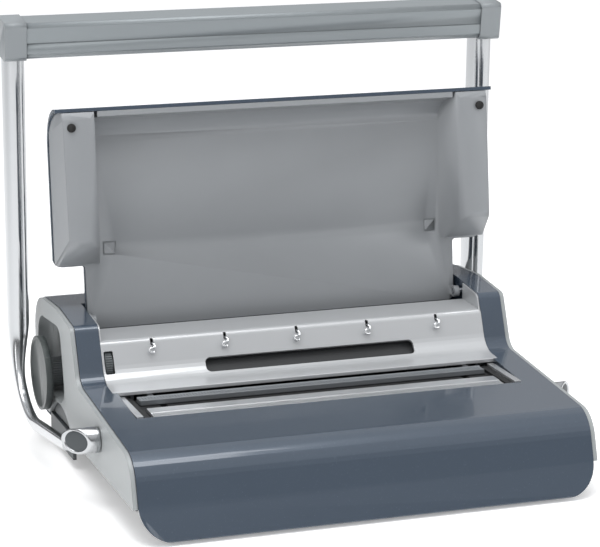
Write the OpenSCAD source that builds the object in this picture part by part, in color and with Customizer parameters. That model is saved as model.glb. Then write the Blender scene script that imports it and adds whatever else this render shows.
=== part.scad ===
// Desktop wire binding machine: punch, wire closer, fold-down lid and pull-over handle.
// +X is to the right, +Y to the back, +Z up. The origin is on the desk, under the middle
// of the footprint. Inside the modules, Y is counted back from the front bottom edge.

/* [Case] */
// Width over the two side panels
body_w = 400; // [380:1:480]
// Depth from the front bottom edge to the rear wall
body_d = 350; // [345:1:420]
// Wall of the moulded top cover
cover_t = 3; // [2:0.5:4]
// Thickness of each side panel
panel_t = 3.8; // [2.5:0.1:5]
// Height of the side panels' lower edge above the desk
side_clear = 28; // [20:1:32]
// Radius of the front's two lower corners
corner_r = 28; // [20:1:34]
// Width of each of the two arms of the cover that carry the lid
riser_w = 26; // [22:1:34]
// Height of the cover's crown above the desk
crown_z = 133; // [128:1:150]

/* [Feet and pan] */
// Height of the rubber feet
foot_h = 4; // [3:0.5:8]
// Radius of each foot
foot_r = 9; // [6:0.5:12]
// Inset of the bottom pan from the case's sides
pan_inset = 28; // [24:1:30]
// Wall of the bottom pan
pan_t = 2.5; // [2:0.5:3]

/* [Handle] */
// Gap between the case and each arm of the handle
arm_gap = 9.6; // [9:0.1:16]
// Width of each arm, along X
arm_t = 18.6; // [15:0.2:19]
// Breadth of each arm, seen from the side
arm_b = 28; // [23:0.5:33]
// Height of the grip bar's middle
bar_z = 362; // [340:1:380]
// Height of the grip bar's section
bar_h = 32; // [26:0.2:38]
// Depth of the grip bar's section
bar_d = 33; // [27:0.5:36]
// Forward tilt of the grip bar
bar_tilt = 7.4; // [0:0.2:12]
// Radius of the main shaft
shaft_r = 6; // [5:0.1:6.4]

/* [Lid] */
// Backward lean of the open lid
lid_lean = 5.33; // [2:0.1:8]
// Height of the lid along its back
lid_h = 195; // [185:1:205]
// Thickness of the lid's outer shell
shell_t = 3; // [2:0.5:4]
// Height above its lower edge at which the lid widens
neck_h = 56; // [54:1:64]
// Depth of the two pods in the lid, at their lower end
pod_d = 36.6; // [28:0.2:38]
// Width of each pod
pod_w = 44; // [34:1:60]

/* [Punch] */
// Number of holes
hole_n = 34; // [10:1:34]
// Hole pitch, three to the inch
hole_pitch = 8.4667; // [8:0.0001:8.6]
// Side of the square holes
hole_side = 4; // [3:0.1:4.4]
// Width of the sheet slot
throat_gap = 3; // [2:0.1:4]
// Thickness of the plate that guides the pins
guide_t = 3; // [2:0.5:4]
// Thickness of the die plate
die_t = 5; // [4:0.5:8]

/* [Drive] */
// Module of the ram's and pusher's teeth
ram_m = 1; // [0.9:0.05:1]
// Teeth on each of the shaft's pinions
ram_teeth = 16; // [16:4:20]
// Module of the anvil's teeth
anvil_m = 0.8; // [0.7:0.05:0.9]
// Teeth on the knob shaft's pinions
anvil_teeth = 10; // [10:2:14]
// Radius of the knob shaft
knob_shaft_r = 3; // [2:0.1:3.2]
// Radial clearance of every running fit
run_clear = 0.05; // [0.02:0.01:0.1]
// Gap kept between parts that move past each other
slide_gap = 0.5; // [0.3:0.1:1]

/* [Knob and wheel] */
// Radius of the knob's disc
knob_r = 33; // [26:0.5:34]
// Radius of the knob's ribbed hub
hub_r = 13; // [10:0.5:16]
// Radius of the edge guide's thumbwheel
wheel_r = 13.5; // [12:0.5:15]
// Thickness of the thumbwheel
wheel_t = 7; // [5:0.5:7]

/* [Hidden] */
$fn = 64;
EPS = 0.01;

// Axes and main places, as [y, z]
shaft_at = [120, 56];
knob_at = [300, 66];
hinge_at = [253, 121.7];
lid_root = [262, 112];
panel_x = body_w/2 - panel_t;            // inner face of each side panel
band_w = 2*panel_x - 0.4;                // width of the cover between the panels
riser_x = body_w/2 - riser_w;            // inner face of each riser
slot_x = riser_x - 2.5;                  // half-width of the closer's opening
slot_y0 = 105;                           // closer's opening, front edge
panel_y0 = 167;                          // closer's opening, rear edge
throat_y = 253;                          // middle of the sheet slot
gap_y0 = throat_y - throat_gap/2;
gap_y1 = throat_y + throat_gap/2;
lip_y = 274;                             // front edge of the cover's rear part
pan_x = body_w/2 - pan_inset;
frame_x = 156;                           // inner face of each side frame
frame_t = 3;
throat_z = 80;                           // where the sheet's edge rests
hole_z = throat_z + 3.5;
plate_top = 103;
ram_r = ram_m*ram_teeth/2;
anvil_r = anvil_m*anvil_teeth/2;
drawer_y0 = 228;
drawer_y1 = 286;
drawer_z1 = 30;
arch_at = [257, -8.2];                   // arch in the left panel's lower edge
arch_r = 56.2;
arm_x0 = body_w/2 + arm_gap;             // inner face of each arm
handle_w = 2*(arm_x0 + arm_t + 1.8);     // width over the end caps
cap_w = 19;
arm_top = bar_z - bar_h/2 - 1;

// ---- outline helpers: a corner is [y, z, radius] ----
function unit(v) = v / norm(v);
function at(c) = [c[0], c[1]];
function arc_between(c, r, a0, turn) =
    let (n = max(2, ceil(abs(turn)/(r > 40 ? 4 : 9))))
    [for (i = [0:n]) c + r*[cos(a0 + turn*i/n), sin(a0 + turn*i/n)]];
function fillet(p, a, b) =
    let (u = unit(at(a) - at(p)), v = unit(at(b) - at(p)), half = acos(u*v)/2,
         c = at(p) + unit(u + v)*p[2]/sin(half),
         s = at(p) + u*p[2]/tan(half) - c, e = at(p) + v*p[2]/tan(half) - c,
         a0 = atan2(s[1], s[0]), a1 = atan2(e[1], e[0]))
    p[2] <= 0 ? [at(p)] : arc_between(c, p[2], a0, (a1 - a0 + 540) % 360 - 180);
function rounded(c) =
    let (n = len(c))
    [for (i = [0:n - 1]) each fillet(c[i], c[(i + n - 1) % n], c[(i + 1) % n])];
// An open path's corners, rounded, with its two ends kept
function rounded_path(c) =
    [at(c[0]), for (i = [1:len(c) - 2]) each fillet(c[i], c[i - 1], c[i + 1]),
     at(c[len(c) - 1])];
// Moves every edge of a counter-clockwise outline inwards by t
function inset(c, t) =
    let (n = len(c))
    [for (i = [0:n - 1])
        let (d1 = unit(at(c[i]) - at(c[(i + n - 1) % n])),
             d2 = unit(at(c[(i + 1) % n]) - at(c[i])),
             n1 = [-d1[1], d1[0]], n2 = [-d2[1], d2[0]], m = unit(n1 + n2),
             bend = d1[0]*d2[1] - d1[1]*d2[0], q = at(c[i]) + m*t/(m*n1))
        [q[0], q[1], c[i][2] <= 0 ? 0 : max(0.3, c[i][2] - t*sign(bend))]];
// Outline of a band of width w along a path
function ribbon(p, w) =
    let (n = len(p),
         side = function(i, s)
            let (d = unit(p[min(i + 1, n - 1)] - p[max(i - 1, 0)]))
            p[i] + s*w/2*[-d[1], d[0]])
    concat([for (i = [0:n - 1]) side(i, -1)], [for (i = [n - 1:-1:0]) side(i, 1)]);

// ---- gear helpers ----
function involute(a) = tan(a)*180/PI - a;
function flank(r, rb, pitch_half) =
    pitch_half + involute(20) - (r > rb ? involute(acos(rb/r)) : 0);
function gear_outline(m, n, lash, rise, drop) =
    let (rp = m*n/2, rb = rp*cos(20), ra = rp + rise*m, rf = rp - drop*m,
         half = 90/n - lash/rp*90/PI,
         rs = [rf, max(rb, rf + 0.01), for (i = [1:4]) max(rb, rf) + (ra - max(rb, rf))*i/4])
    [for (k = [0:n - 1]) each concat(
        [for (r = rs) let (a = 360*k/n - flank(r, rb, half)) r*[cos(a), sin(a)]],
        [for (i = [len(rs) - 1:-1:0])
            let (a = 360*k/n + flank(rs[i], rb, half)) rs[i]*[cos(a), sin(a)]])];
// Teeth point to +z from the pitch line at 0, n gaps to each side of y = 0
function rack_outline(m, n, lash, rise, drop, back) =
    let (p = PI*m, w = PI*m/4 - lash/2, t = tan(20)*m)
    concat([for (k = [-n:n - 1]) each
        let (c = (k + 0.5)*p)
        [[c - w - t*drop, -drop*m], [c - w + t*rise, rise*m],
         [c + w - t*rise, rise*m], [c + w + t*drop, -drop*m]]],
        [[n*p, -drop*m], [n*p, -back], [-n*p, -back], [-n*p, -drop*m]]);

// ---- placing helpers ----
module from_front() { translate([0, -body_d/2, 0]) children(); }
// Extrudes a [y, z] outline along X, from x0 to x1
module along_x(x0, x1) {
    translate([x0, 0, 0]) rotate([90, 0, 90]) linear_extrude(x1 - x0) children();
}
module bar_x(x0, x1, p, r) {
    translate([x0, p[0], p[1]]) rotate([0, 90, 0]) cylinder(h = x1 - x0, r = r);
}
module box(x0, x1, y0, y1, z0, z1) {
    translate([x0, y0, z0]) cube([x1 - x0, y1 - y0, z1 - z0]);
}
module both_sides() { children(); mirror([1, 0, 0]) children(); }
module round_rect(w, h, r) {
    square([w - 2*r, h], center = true);
    square([w, h - 2*r], center = true);
    for (i = [-1, 1], j = [-1, 1]) translate([i*(w/2 - r), j*(h/2 - r)]) circle(r);
}

// ---- case outline ----
foot_of_riser = [193.6, 82.3];
case_top = [[body_d, crown_z - 4.3, 34], [267, crown_z, 60], [212.5, crown_z - 5.1, 8],
    [foot_of_riser[0], foot_of_riser[1], 16], [22.1, 68.4, 28]];
case_outline = concat([[-0.55, 3, 1.2], [body_d, 3, 3]], case_top, [[10, 29, 60]]);
side_outline = concat([[9.7, side_clear, 2], [body_d, side_clear, 3]], case_top);
// The silver panel between the risers: a low sill, a steep face and a flat band
centre_t = 2.2;
cheek_t = 1.4;
face_rise = 32.7;                        // height of the steep face
panel_y1 = 246;                          // rear edge of the flat band
face_run = face_rise*(case_top[2][0] - case_top[3][0])/(case_top[2][1] - case_top[3][1]);
face_a = atan2(face_rise, face_run);
crease = foot_of_riser + [face_run, face_rise];
centre_outline = [[panel_y0, 60, 0], [panel_y1, 60, 0], [panel_y1, crease[1] + 1.2, 1.4],
    [crease[0], crease[1], 6], [foot_of_riser[0], foot_of_riser[1], 22],
    [panel_y0, 80.2, 0.8]];
module on_plane(x, p, a) {
    translate([x, p[0], p[1]]) rotate([a, 0, 0]) children();
}
// Places a child on the steep face, d up it from its foot
module on_face(x, d) {
    on_plane(x, foot_of_riser + d*[cos(face_a), sin(face_a)], face_a) children();
}
window_x = 11;
window_w = 192;
window_h = 13.8;
window_at = foot_of_riser + [0.9, 7.5];
window_a = 50;
wheel_x = riser_x - 4.6;
wheel_d = 16.4;
wheel_out = 1.5;                         // how far the wheel stands out of its slot
wheel_slot = 2*sqrt(pow(wheel_r, 2) - pow(wheel_r - wheel_out - centre_t, 2)) + 1.4;
screw_r = 2.5;
wheel_c = foot_of_riser + wheel_d*[cos(face_a), sin(face_a)]
    + (wheel_r - wheel_out)*[sin(face_a), -cos(face_a)];

module bottom_pan() {
    w = 2*pan_x;
    color("#2b2e31") from_front() difference() {
        union() {
            box(-pan_x, pan_x, 20, body_d - 10, foot_h, foot_h + pan_t);
            difference() {
                box(-pan_x, pan_x, 20, body_d - 10, foot_h, side_clear);
                box(-pan_x + pan_t, pan_x - pan_t, 20 + pan_t, body_d - 10 - pan_t,
                    foot_h - 1, side_clear + 1);
            }
            both_sides() box(pan_x - 1, panel_x - 0.4, 20, body_d - 10,
                side_clear - pan_t, side_clear);
        }
        box(-panel_x - 1, -pan_x + pan_t + 1, drawer_y0 - 2, drawer_y1 + 2,
            foot_h + pan_t + 0.5, side_clear + 1);
        box(-panel_x - 1, -panel_x + 9.2, arch_at[0] - 50, arch_at[0] + 50, 18, side_clear + 1);
        for (p = cover_screw_at) translate([p[0], p[1], 0]) cylinder(h = 20, r = 2.2);
        for (p = foot_at) translate([p[0], p[1], 0]) cylinder(h = 20, r = 2.2);
    }
}

foot_at = [[-145, 48], [145, 48], [-145, body_d - 34], [145, body_d - 34]];
module rubber_feet() {
    color("#151515") from_front() for (p = foot_at) translate([p[0], p[1], 0]) {
        cylinder(h = foot_h, r = foot_r);
        cylinder(h = foot_h + pan_t, r = 2.1);
        translate([0, 0, foot_h + pan_t]) cylinder(h = 1.5, r = 3.4);
    }
}

cover_screw_at = [[-110, 44], [110, 44], [-110, body_d - 22], [110, body_d - 22]];
module cover_screws() {
    color("silver") from_front() for (p = cover_screw_at) translate([p[0], p[1], 0]) {
        translate([0, 0, foot_h - 2]) cylinder(h = 2, r = 3.8);
        translate([0, 0, foot_h]) cylinder(h = 16, r = 1.75);
    }
}

module top_cover() {
    o = case_outline;
    color("#5b6b7a") from_front() difference() {
        union() {
            difference() {
                along_x(-band_w/2, band_w/2) polygon(rounded(o));
                along_x(-band_w, band_w) polygon(rounded(inset(o, cover_t)));
                box(-band_w, band_w, cover_t + 6, body_d - cover_t - 1, -1, 8);
                // opening between the risers, and over the closer
                box(-open_x, open_x, panel_y0 - 0.2, lip_y, 50, 200);
                box(-slot_x, slot_x, slot_y0, panel_y0, 50, 200);
            }
            riser_walls(o);
            box(-open_x - 1, open_x + 1, lip_y, lip_y + cover_t, 101, crown_z - 1.5);
            for (p = cover_screw_at) intersection() {
                translate([p[0], p[1], foot_h + pan_t]) cylinder(h = 200, r = 4.5);
                along_x(-band_w/2, band_w/2) polygon(rounded(inset(o, 0.5)));
            }
        }
        both_sides() corner_cut();
        for (p = cover_screw_at) translate([p[0], p[1], 0]) cylinder(h = 22, r = 1.8);
        both_sides() bar_x(riser_x - 2, riser_x + 8, hinge_at, hinge_r + run_clear);
    }
}
open_x = riser_x + cheek_t + 0.1;
// Closes the inner side of each riser, behind the silver cheeks
module riser_walls(o) {
    both_sides() intersection() {
        along_x(open_x - EPS, open_x + cover_t) polygon(rounded(o));
        along_x(riser_x, riser_x + 10) polygon([[196, 101], [243, 106], [lip_y + 1, 104],
            [lip_y + 1, 200], [196, 200]]);
    }
}
// Rounds one lower corner of the front and rear walls
module corner_cut() {
    x = band_w/2 - corner_r;
    difference() {
        box(x, band_w/2 + 1, -5, body_d + 5, -1, 3 + corner_r);
        translate([x, body_d + 6, 3 + corner_r]) rotate([90, 0, 0])
            cylinder(h = body_d + 12, r = corner_r, $fn = 96);
    }
}

// One side panel, drawn on the left: its outline is the case's, a little smaller
module side_plate() {
    difference() {
        along_x(-body_w/2, -panel_x) polygon(rounded(inset(side_outline, 0.9)));
        bar_x(-body_w, -100, shaft_at, shaft_r + 1);
    }
}
scoop_r = 135.6;
scoop_deep = 14;
scoop_outline = [[238, 60, 14], [252, 50, 10], [334, 50, 20], [338, 112, 22], [252, 118, 14]];
module side_panel_left() {
    scoop_c = [-body_w/2 - scoop_r + scoop_deep, knob_at[0]];
    color("#b2b5b5") from_front() difference() {
        union() {
            difference() {
                side_plate();
                along_x(-body_w, -100) polygon(rounded(scoop_outline));
            }
            intersection() {
                along_x(-body_w/2, -170) polygon(rounded(inset(scoop_outline, -2)));
                translate([scoop_c[0], scoop_c[1], 0]) difference() {
                    cylinder(h = 200, r = scoop_r + 2.5, $fn = 180);
                    cylinder(h = 400, r = scoop_r, center = true, $fn = 180);
                }
            }
            difference() {
                along_x(-body_w/2, -body_w/2 + scoop_deep)
                    polygon(rounded(inset(scoop_outline, -2)));
                along_x(-body_w, -100) polygon(rounded(scoop_outline));
                translate([scoop_c[0], scoop_c[1], 0])
                    difference() {
                        cylinder(h = 400, r = scoop_r + 80, center = true, $fn = 180);
                        cylinder(h = 400, r = scoop_r + 2.5, center = true, $fn = 180);
                    }
            }
        }
        bar_x(-body_w, -100, knob_at, hub_r + 1.5);
        bar_x(-body_w, -100, arch_at, arch_r);
    }
}
module side_panel_right() {
    color("#b2b5b5") from_front() mirror([1, 0, 0]) side_plate();
}

hook_pitch = 65.5;
hook_x = 0.8;
hook_d = 31;
hook_r = 0.85;
module centre_panel() {
    color("#a9abad") from_front() difference() {
        union() {
            along_x(-riser_x - cheek_t, riser_x + cheek_t) difference() {
                polygon(rounded(centre_outline));
                polygon(rounded(inset(centre_outline, centre_t)));
                translate([panel_y0 + centre_t, 0]) square([120, 76]);
                translate([panel_y0 - 1, 0]) square([120, 77]);
                translate([panel_y1 - 4, 0]) square([20, 106]);
            }
            both_sides() intersection() {
                along_x(riser_x, riser_x + cheek_t) polygon(rounded(inset(case_outline, 0.8)));
                along_x(riser_x - 1, riser_x + 5) polygon([foot_of_riser + [2.5, 0],
                    [crease[0] + 2.5, 107], [panel_y1, 107], [panel_y1, 200],
                    [foot_of_riser[0], 200]]);
            }
        }
        on_plane(window_x, window_at, window_a) translate([0, 0, -8]) linear_extrude(16)
            round_rect(window_w, window_h, 4.5);
        on_face(-wheel_x, wheel_d) translate([0, 0, -8]) linear_extrude(16)
            round_rect(wheel_t + 1.2, wheel_slot, 1.5);
        for (i = [-2:2]) on_face(hook_x + i*hook_pitch, hook_d + 0.6)
            translate([0, 0, -8]) linear_extrude(16) round_rect(2.7, 6.2, 1.2);
    }
}
// Dark pocket behind the long window
module window_tray() {
    color("#2e3032") from_front() on_plane(window_x, window_at, window_a)
        translate([0, 0, -8.6]) difference() {
            linear_extrude(5) round_rect(window_w + 5, window_h + 4, 6);
            translate([0, 0, 1.6]) linear_extrude(6) round_rect(window_w, window_h, 4.5);
        }
}
// Each hook comes out of its slot, bends down the face and ends in a small ball
module wire_hooks() {
    color("#e6e8ea") from_front() for (i = [-2:2])
        on_face(hook_x + i*hook_pitch, hook_d) rotate([0, 0, -24]) {
            translate([0, 0, -6]) cylinder(h = 7.6, r = hook_r);
            translate([0, -2, 1.6]) rotate([90, 0, 90]) rotate_extrude(angle = 90)
                translate([2, 0]) circle(hook_r, $fn = 24);
            translate([0, -2, 3.6]) rotate([90, 0, 0]) cylinder(h = 6.4, r = hook_r);
            translate([0, -8.6, 3.4]) sphere(r = 1.25);
        }
}

frame_outline = [[96, 6.5, 0], [222, 6.5, 0], [222, 39, 4], [292, 39, 4], [292, 6.5, 0],
    [336, 6.5, 0], [336, 84, 6], [290, 94, 10], [264, plate_top, 4],
    [crease[0] + 4, plate_top, 6], [foot_of_riser[0] + 5.4, 80, 4], [186, 77.4, 6],
    [171, 76.5, 0], [171, 65.5, 0], [96, 65.5, 4]];
module side_frame(s) {
    from_front() difference() {
        along_x(s > 0 ? frame_x : -frame_x - frame_t, s > 0 ? frame_x + frame_t : -frame_x)
            polygon(rounded(frame_outline));
        bar_x(-body_w, body_w, shaft_at, shaft_r + run_clear + 2.5);
        bar_x(-body_w, body_w, knob_at, knob_shaft_r + run_clear);
        if (s < 0) bar_x(-body_w, 0, wheel_c, screw_r + run_clear);
        if (s < 0) box(-frame_x - 10, -frame_x + 10, gap_y0 - 0.2, gap_y1 + 0.2, 84, 120);
        for (p = tie_at) bar_x(-body_w, body_w, p, tie_screw_r);
    }
}
module side_frame_left() { color("#8c9094") side_frame(-1); }
module side_frame_right() { color("#8c9094") side_frame(1); }

module shaft_bushes() {
    color("#c79a4b") from_front() both_sides() difference() {
        union() {
            bar_x(frame_x, frame_x + frame_t, shaft_at, shaft_r + run_clear + 2.5);
            bar_x(frame_x + frame_t, frame_x + frame_t + 2, shaft_at, shaft_r + 4);
        }
        bar_x(frame_x - 5, frame_x + 15, shaft_at, shaft_r + run_clear);
    }
}

tie_at = [[205, 58], [275, 58], [106, 22], [316, 24]];
tie_screw_r = 2;
module tie_rods() {
    color("#9a9da0") from_front() for (p = tie_at) difference() {
        bar_x(-frame_x, frame_x, p, 4);
        bar_x(-frame_x - 1, -frame_x + 12, p, tie_screw_r);
        bar_x(frame_x - 12, frame_x + 1, p, tie_screw_r);
    }
}
module tie_rod_screws() {
    color("silver") from_front() both_sides() for (p = tie_at) {
        bar_x(frame_x - 11, frame_x + frame_t, p, tie_screw_r);
        bar_x(frame_x + frame_t, frame_x + frame_t + 2.4, p, 3.6);
    }
}

module punch_holes(y0, y1, side) {
    for (i = [0:hole_n - 1]) {
        x = (i - (hole_n - 1)/2)*hole_pitch;
        box(x - side/2, x + side/2, y0, y1, hole_z - side/2, hole_z + side/2);
    }
}
module pin_guide_plate() {
    color("#a2a5a8") from_front() difference() {
        box(-frame_x, frame_x, gap_y0 - guide_t, gap_y0, throat_z - 2, plate_top);
        punch_holes(gap_y0 - guide_t - 1, gap_y0 + 1, hole_side + 0.2);
    }
}
module die_plate() {
    color("#85888b") from_front() difference() {
        box(-frame_x, frame_x, gap_y1, gap_y1 + die_t, throat_z - 2, plate_top);
        punch_holes(gap_y1 - 1, gap_y1 + die_t + 1, hole_side + 0.2);
    }
}
module sheet_stop() {
    color("#6c6f72") from_front()
        box(-frame_x, frame_x, gap_y0, gap_y1, throat_z - 2, throat_z);
}

bed_z = 71.6;
// Height of the deck's outer face at y
function deck_z(y) = let (a = case_top[4], b = case_top[3])
    a[1] + (y - a[0])*(b[1] - a[1])/(b[0] - a[0]);
leg_x0 = 134;
leg_t = 5;
module closer_bed() {
    color("#1f2224") from_front() difference() {
        union() {
            box(-slot_x, slot_x, slot_y0, panel_y0 + 2.5, 66.5, bed_z);
            // lip that seats under the deck
            box(-slot_x, slot_x, slot_y0 - 4, slot_y0 + EPS, 66.5,
                min(bed_z, deck_z(slot_y0 - 4) - cover_t - 0.18));
            both_sides() box(closer_x + 3, slot_x - 0.3, slot_y0 + 0.3, panel_y0 - 0.5, bed_z - EPS, 74);
        }
        both_sides() box(leg_x0 - slide_gap, leg_x0 + leg_t + slide_gap, 122, 152, 60, 80);
        for (y = [131.5, 148]) box(-156, 156, y, y + 1.6, 70.2, 80);
    }
}
module closer_end_strips() {
    color("#dfe1e3") from_front() both_sides()
        box(slot_x - 6.1, slot_x - 0.4, slot_y0 + 0.4, panel_y0 - 0.6, 74, 76.2);
}

// Torsion springs round the main shaft: close-wound turns, drawn as touching rings
spring_x = [40, 100];
module return_springs() {
    color("#70757a") from_front() both_sides() for (i = [0:6])
        translate([70 + i*2.2, shaft_at[0], shaft_at[1]]) rotate([0, 90, 0])
            rotate_extrude($fn = 48) translate([shaft_r + 1.5, 0]) circle(1.05, $fn = 16);
}

// ---- handle ----
arm_lean = 2.12;                         // backward lean of the uprights, foot to grip
arm_y0 = 324;                            // middle of each arm at the grip
limb_w = 9.2;                            // width of the lower limb, along X
limb_h = 9;                              // height of the lower limb at the boss
boss_r = 11;
mitre_x = arm_x0 - 0.1;                  // where the boss's slanted end begins
shaft_x1 = mitre_x + 0.5;
// Middle of the upright at height z
function arm_mid(z) = arm_y0 + (arm_top - z)*tan(arm_lean);
// Side outline of an arm, counter-clockwise
function arm_outline() = let (h = arm_b/2)
    [[shaft_at[0] - 2, shaft_at[1] - limb_h/2 - 4, 0], [arm_mid(14) + h, 14.3, 99],
     [arm_mid(bar_z) + h, bar_z, 0], [arm_mid(bar_z) - h, bar_z, 0],
     [arm_mid(30) - h, 29.7, 61], [shaft_at[0] - 2, shaft_at[1] + limb_h/2 - 4, 0]];
module tilted_bar() {
    translate([0, 318, bar_z]) rotate([bar_tilt, 0, 0]) children();
}
// Everything in front of the boss's slanted end, moved back by d
module mitre(d) {
    both_sides() translate([0, d, 20]) linear_extrude(80) polygon([[mitre_x - 11, 97],
        [mitre_x + 26.5, 138.2], [mitre_x + 26.5, 60], [mitre_x - 11, 60]]);
}
module arm_right() {
    x1 = arm_x0 + arm_t;
    difference() {
        union() {
            intersection() {
                along_x(arm_x0, x1) polygon(rounded(arm_outline()));
                // slim along the limb, with a web up to the upright's full width
                translate([0, 400, 0]) rotate([90, 0, 0]) linear_extrude(400)
                    polygon([[x1, 0], [x1, bar_z + 20], [arm_x0, bar_z + 20], [arm_x0, 105],
                        [x1 - limb_w, 60], [x1 - limb_w, 0]]);
                // rounded edges on the upright
                union() {
                    box(0, body_w, 100, 400, 0, 126);
                    translate([arm_x0 + arm_t/2, arm_mid(120), 120])
                        rotate([arm_lean, 0, 0]) linear_extrude(300)
                        round_rect(arm_t + 0.02, arm_b*cos(arm_lean) + 0.02, 8);
                }
            }
            bar_x(body_w/2 + 0.6, handle_w/2 - 0.5, shaft_at, boss_r);
        }
        mitre(0);
        inlay(2.2);
        bar_x(body_w/2 - 1, shaft_x1, shaft_at, shaft_r);
        // trimmed by the end cap's lower face
        tilted_bar() box(-handle_w, handle_w, -60, 60, -bar_h/2 - 1, 60);
        // groove down the front of the upright
        translate([arm_x0 + 0.36*arm_t, arm_mid(120) - arm_b/2, 126])
            rotate([arm_lean, 0, 0]) cylinder(h = 300, r = 1.3);
    }
}
module handle_arm(s) {
    from_front() mirror([s > 0 ? 0 : 1, 0, 0]) arm_right();
}
// Dark oval in the slanted end of the boss
module inlay(t) {
    intersection() {
        bar_x(mitre_x - 6, handle_w/2, shaft_at, boss_r - 2.8);
        difference() {
            mitre(t);
            mitre(-6);
        }
    }
}
module handle_arm_left() { color("#d9dbdd") handle_arm(-1); }
module handle_arm_right() { color("#d9dbdd") handle_arm(1); }
module arm_inlays() {
    color("#4a4f52") from_front() both_sides() difference() {
        inlay(2.2);
        mitre(0.6);
    }
}
module grip_bar() {
    color("#9ea3a6") from_front() tilted_bar()
        along_x(-handle_w/2 + cap_w, handle_w/2 - cap_w) difference() {
            polygon(rounded([[-bar_d/2 + 4.5, -bar_h/2, 2], [bar_d/2, -bar_h/2, 4],
                [bar_d/2, bar_h/2, 5], [-bar_d/2, bar_h/2, 4], [-bar_d/2, -bar_h/2 + 4.5, 2]]));
            translate([-bar_d/2, -1.6]) square([1.6, 0.9], center = true);
        }
}
module grip_cap(s) {
    x0 = s > 0 ? handle_w/2 - cap_w : -handle_w/2;
    from_front() tilted_bar() along_x(x0, x0 + cap_w) round_rect(bar_d + 2, bar_h + 2, 4);
}
module grip_cap_left() { color("#8f9497") grip_cap(-1); }
module grip_cap_right() { color("#8f9497") grip_cap(1); }
module main_shaft() {
    color("#a5a8ab") from_front() bar_x(-shaft_x1, shaft_x1, shaft_at, shaft_r);
}
module pinion(x0, x1, p, m, n, lash, rise, drop, bore, a) {
    difference() {
        translate([x0, p[0], p[1]]) rotate([90, 0, 90]) rotate([0, 0, a])
            linear_extrude(x1 - x0) polygon(gear_outline(m, n, lash, rise, drop));
        bar_x(x0 - 1, x1 + 1, p, bore);
    }
}
rack_x0 = 148;
lash = 0.16;
module ram_pinions() {
    color("#c9b37a") from_front() both_sides() for (x = [leg_x0, rack_x0])
        pinion(x, x + leg_t, shaft_at, ram_m, ram_teeth, lash, 0.8, 1.1, shaft_r, -90);
}
module spring_collars() {
    color("#7c8083") from_front() both_sides() difference() {
        bar_x(85, 91, shaft_at, shaft_r + 4);
        bar_x(80, 95, shaft_at, shaft_r);
    }
}

// ---- punch ram, pulled back by racks under the shaft ----
ram_y0 = 220;
ram_y1 = 232;
module ram_bar() {
    box(-rack_x0 + 0, rack_x0, ram_y0, ram_y1, 78.5, 89);
}
module punch_ram() {
    color("#74787c") from_front() difference() {
        ram_bar();
        for (x = ram_screw_x) both_sides()
            translate([x, ram_y0 - 1, 84]) rotate([-90, 0, 0]) cylinder(h = 8, r = 2);
    }
}
ram_screw_x = [30, 90, 140];
module ram_screws() {
    color("silver") from_front() for (x = ram_screw_x) both_sides()
        translate([x, ram_y0, 84]) rotate([-90, 0, 0]) {
            cylinder(h = 7, r = 2);
            translate([0, 0, -2]) cylinder(h = 2, r = 3.4);
        }
}
module punch_pins() {
    color("#c4c7ca") from_front() punch_holes(ram_y1, gap_y0 - 1, hole_side);
}
module under_rack(x0, x1, y_shift) {
    // A rack under the shaft, its teeth up to the pinion
    translate([0, shaft_at[0] + y_shift, shaft_at[1] - ram_r])
        along_x(x0, x1) polygon(rack_outline(ram_m, 8, lash, 0.8, 1.1, 7.5));
}
module pull_rack() {
    rack_end = shaft_at[0] + 8*PI*ram_m;
    low = shaft_at[1] - ram_r - 7.5;
    under_rack(rack_x0, rack_x0 + leg_t, 0);
    box(rack_x0, rack_x0 + leg_t, rack_end, ram_y1, low, low + 6.2);
    box(rack_x0, rack_x0 + leg_t, ram_y0, ram_y1, low, 89);
}
module pull_rack_left() { color("#8e9296") from_front() mirror([1, 0, 0]) pull_rack(); }
module pull_rack_right() { color("#8e9296") from_front() pull_rack(); }

// ---- wire closer ----
closer_x = 156;
module closer_pusher() {
    color("#cfd2d4") from_front() difference() {
        box(-closer_x, closer_x, slot_y0 + 0.6, 131, bed_z + 0.3, 75.2);
        for (i = [-60:60]) box(i*2.5 - 0.4, i*2.5 + 0.4, slot_y0, 113, 74.7, 76);
    }
}
module pusher_racks() {
    low = shaft_at[1] - ram_r - 7.5;
    color("#8e9296") from_front() both_sides() {
        under_rack(leg_x0, leg_x0 + leg_t, 0);
        along_x(leg_x0, leg_x0 + leg_t) polygon([
            [123, bed_z + 0.3], [123, 67], [132, 65], [132, 46],
            [shaft_at[0] + 8*PI*ram_m, 46.4], [shaft_at[0] + 8*PI*ram_m, low + 0.5],
            [150, low], [150, 46.5], [137.5, 50], [137.5, 67], [131, bed_z + 0.3]]);
    }
}
anvil_y0 = 150;
anvil_y1 = 162.3;
anvil_top = 76.4;
link_x0 = 141;
link_z0 = bed_z + 0.3;
module closer_anvil() {
    color("#6e7275") from_front() difference() {
        box(-closer_x, closer_x, anvil_y0, anvil_y1, link_z0, anvil_top);
        for (i = [-58:58]) box(i*2.6 - 0.5, i*2.6 + 0.5, anvil_y0 + 2, anvil_y1 - 2,
            anvil_top - 0.5, 78);
    }
}
module anvil_links() {
    rack_z = knob_at[1] + anvil_r;
    color("#8e9296") from_front() both_sides() {
        box(link_x0, link_x0 + leg_t, anvil_y1, 288, link_z0, anvil_top);
        translate([0, knob_at[0], rack_z]) mirror([0, 0, 1]) along_x(link_x0, link_x0 + leg_t)
            polygon(rack_outline(anvil_m, 4, lash, 0.5, 1, anvil_top - rack_z));
        box(link_x0, link_x0 + leg_t, 287.9, knob_at[0] - 4*PI*anvil_m, link_z0, anvil_top);
    }
}
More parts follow.
